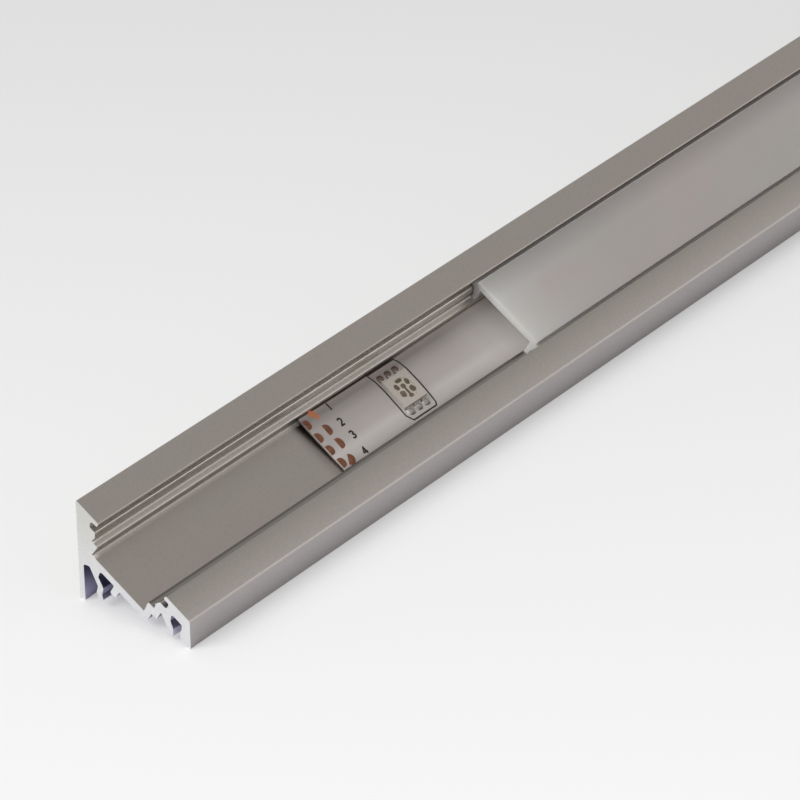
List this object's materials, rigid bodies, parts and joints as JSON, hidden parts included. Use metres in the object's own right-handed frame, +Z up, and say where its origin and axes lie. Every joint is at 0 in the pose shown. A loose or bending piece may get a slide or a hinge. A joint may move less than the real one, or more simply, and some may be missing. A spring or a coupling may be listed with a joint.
{
  "type": "corner led strip profile",
  "caption": "Corner aluminium profile with a sloped channel for a 10 mm LED strip, with the strip and a frosted snap-in cover.",
  "frame": {"origin": "centre of the base rectangle, at the level of the legs' feet", "axes": "+Z up, +Y along the profile away from the bare sawn end, +X from the tall wall to the low wall"},
  "size_m": [0.0198, 1, 0.0159],
  "materials": {
    "anodised_aluminium": "satin anodised",
    "strip_film": "satin",
    "frosted_cover": "frosted",
    "led_body": "satin"
  },
  "bodies": {
    "root": {"profile_extrusion": "anodised_aluminium", "led_strip": "strip_film", "diffuser_cover": "frosted_cover", "led_01": "led_body", "led_02": "led_body", "led_03": "led_body", "led_04": "led_body", "led_05": "led_body", "led_06": "led_body", "led_07": "led_body", "led_08": "led_body", "led_09": "led_body", "led_10": "led_body", "led_11": "led_body", "led_12": "led_body", "led_13": "led_body", "led_14": "led_body", "led_15": "led_body", "led_16": "led_body", "led_17": "led_body", "led_18": "led_body", "led_19": "led_body", "led_20": "led_body", "led_21": "led_body", "led_22": "led_body", "led_23": "led_body", "led_24": "led_body", "led_25": "led_body", "led_26": "led_body", "led_27": "led_body", "led_28": "led_body", "led_29": "led_body"}
  },
  "joints": []
}
